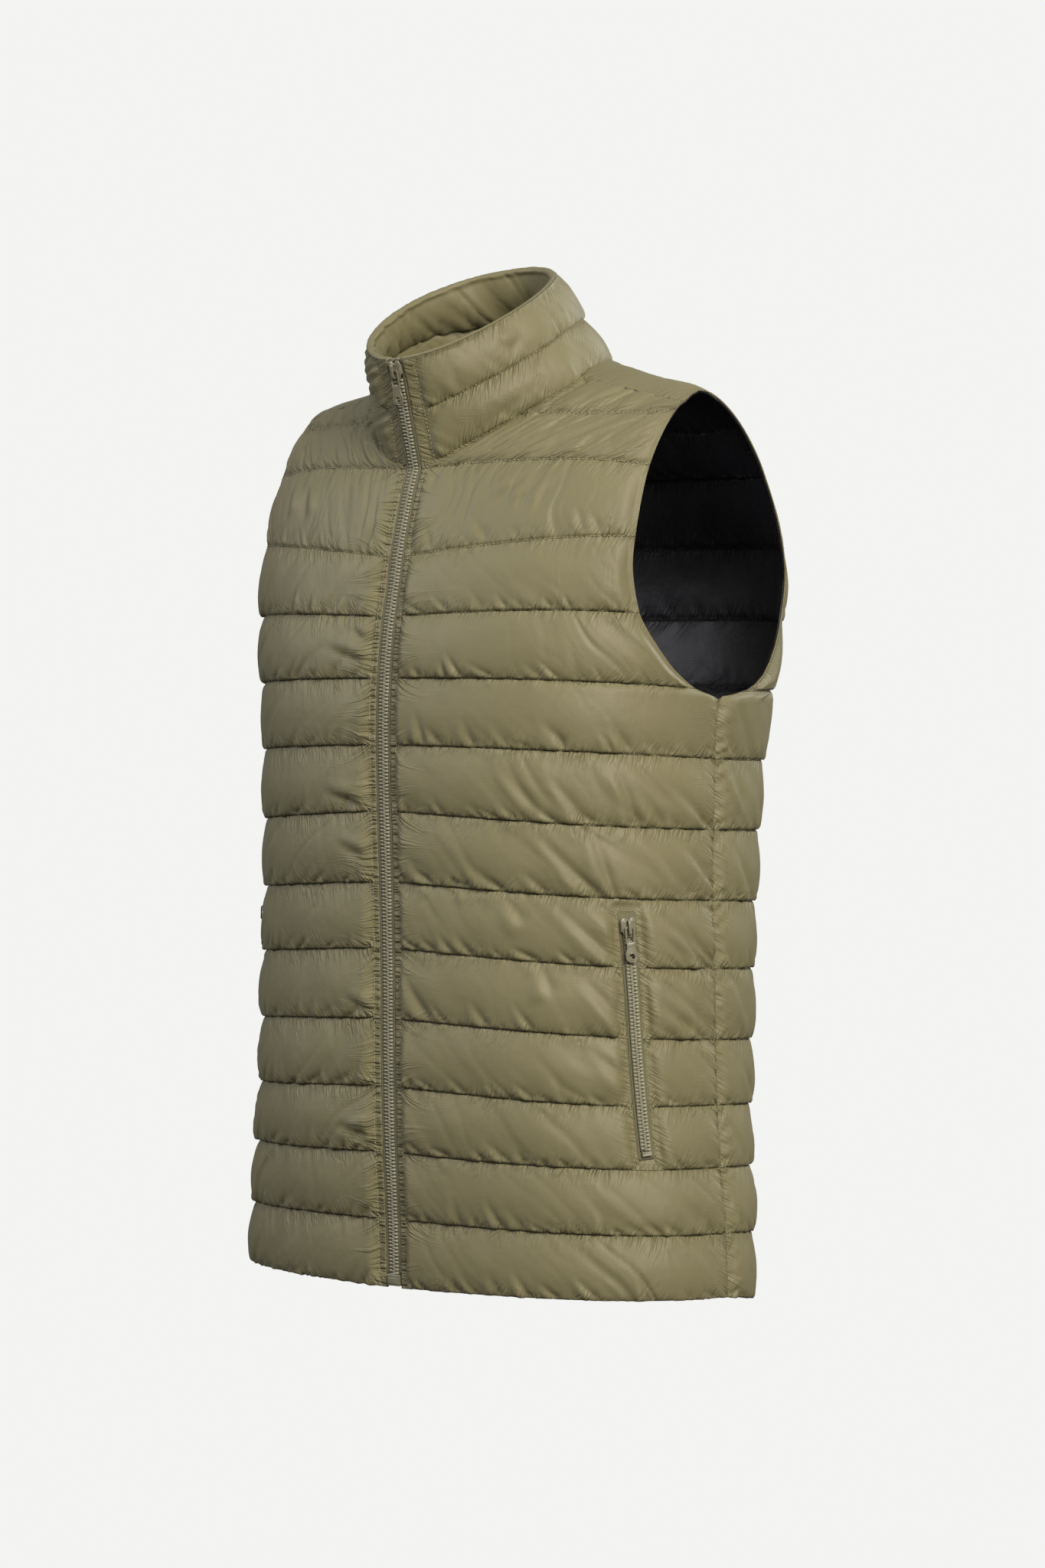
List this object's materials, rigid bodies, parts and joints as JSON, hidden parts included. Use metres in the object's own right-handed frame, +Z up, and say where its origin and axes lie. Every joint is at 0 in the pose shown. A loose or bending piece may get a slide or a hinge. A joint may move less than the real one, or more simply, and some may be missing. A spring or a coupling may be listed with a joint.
{
  "type": "padded vest",
  "caption": "Sleeveless padded vest with level quilted channels, stand collar, full front zip and zipped hand pockets, filled out as worn.",
  "frame": {"origin": "midway between the two shoulder straps, at the height where they rest on the wearer", "axes": "+Z up, -Y out of the wearer's front, +X towards the wearer's left side"},
  "size_m": [0.4086, 0.3084, 0.7344],
  "materials": {
    "shell": "olive-green nylon taffeta with a soft sheen, padded and quilted",
    "lining": "black polyester taffeta lining, quilted through",
    "zip_tape": "grey-olive woven polyester zip tape",
    "zip_teeth": "grey-olive moulded plastic zip teeth",
    "zip_metal": "grey-olive painted die-cast zinc sliders, pulls and stops"
  },
  "bodies": {
    "garment": {"front_left": "shell", "front_right": "shell", "back": "shell", "lining_front_left": "lining", "lining_front_right": "lining", "lining_back": "lining", "collar": "shell", "collar_facing": "shell", "zip_tape_left": "zip_tape", "zip_tape_right": "zip_tape", "zip_chain": "zip_teeth", "zip_box": "zip_metal", "zip_top_stop_left": "zip_metal", "zip_top_stop_right": "zip_metal", "zip_slider": "zip_metal", "pocket_tape_left": "zip_tape", "pocket_tape_right": "zip_tape", "pocket_chain_left": "zip_teeth", "pocket_chain_right": "zip_teeth", "pocket_stop_left": "zip_metal", "pocket_stop_right": "zip_metal", "pocket_slider_left": "zip_metal", "pocket_slider_right": "zip_metal"},
    "front_pull": {"zip_pull": "zip_metal"},
    "left_pocket_pull": {"pocket_pull_left": "zip_metal"},
    "right_pocket_pull": {"pocket_pull_right": "zip_metal"}
  },
  "joints": [
    {"name": "front_pull_swing", "type": "hinge", "parent": "garment", "child": "front_pull", "pos_m": [0, -0.13581, 0.00298], "axis": [-1, 0, 0], "range_deg": [0, 160]},
    {"name": "left_pocket_pull_swing", "type": "hinge", "parent": "garment", "child": "left_pocket_pull", "pos_m": [0.16932, -0.07653, -0.37853], "axis": [-0.5464, -0.8312, -0.1028], "range_deg": [0, 160]},
    {"name": "right_pocket_pull_swing", "type": "hinge", "parent": "garment", "child": "right_pocket_pull", "pos_m": [-0.16932, -0.07653, -0.37853], "axis": [-0.5464, 0.8312, 0.1028], "range_deg": [0, 160]}
  ]
}
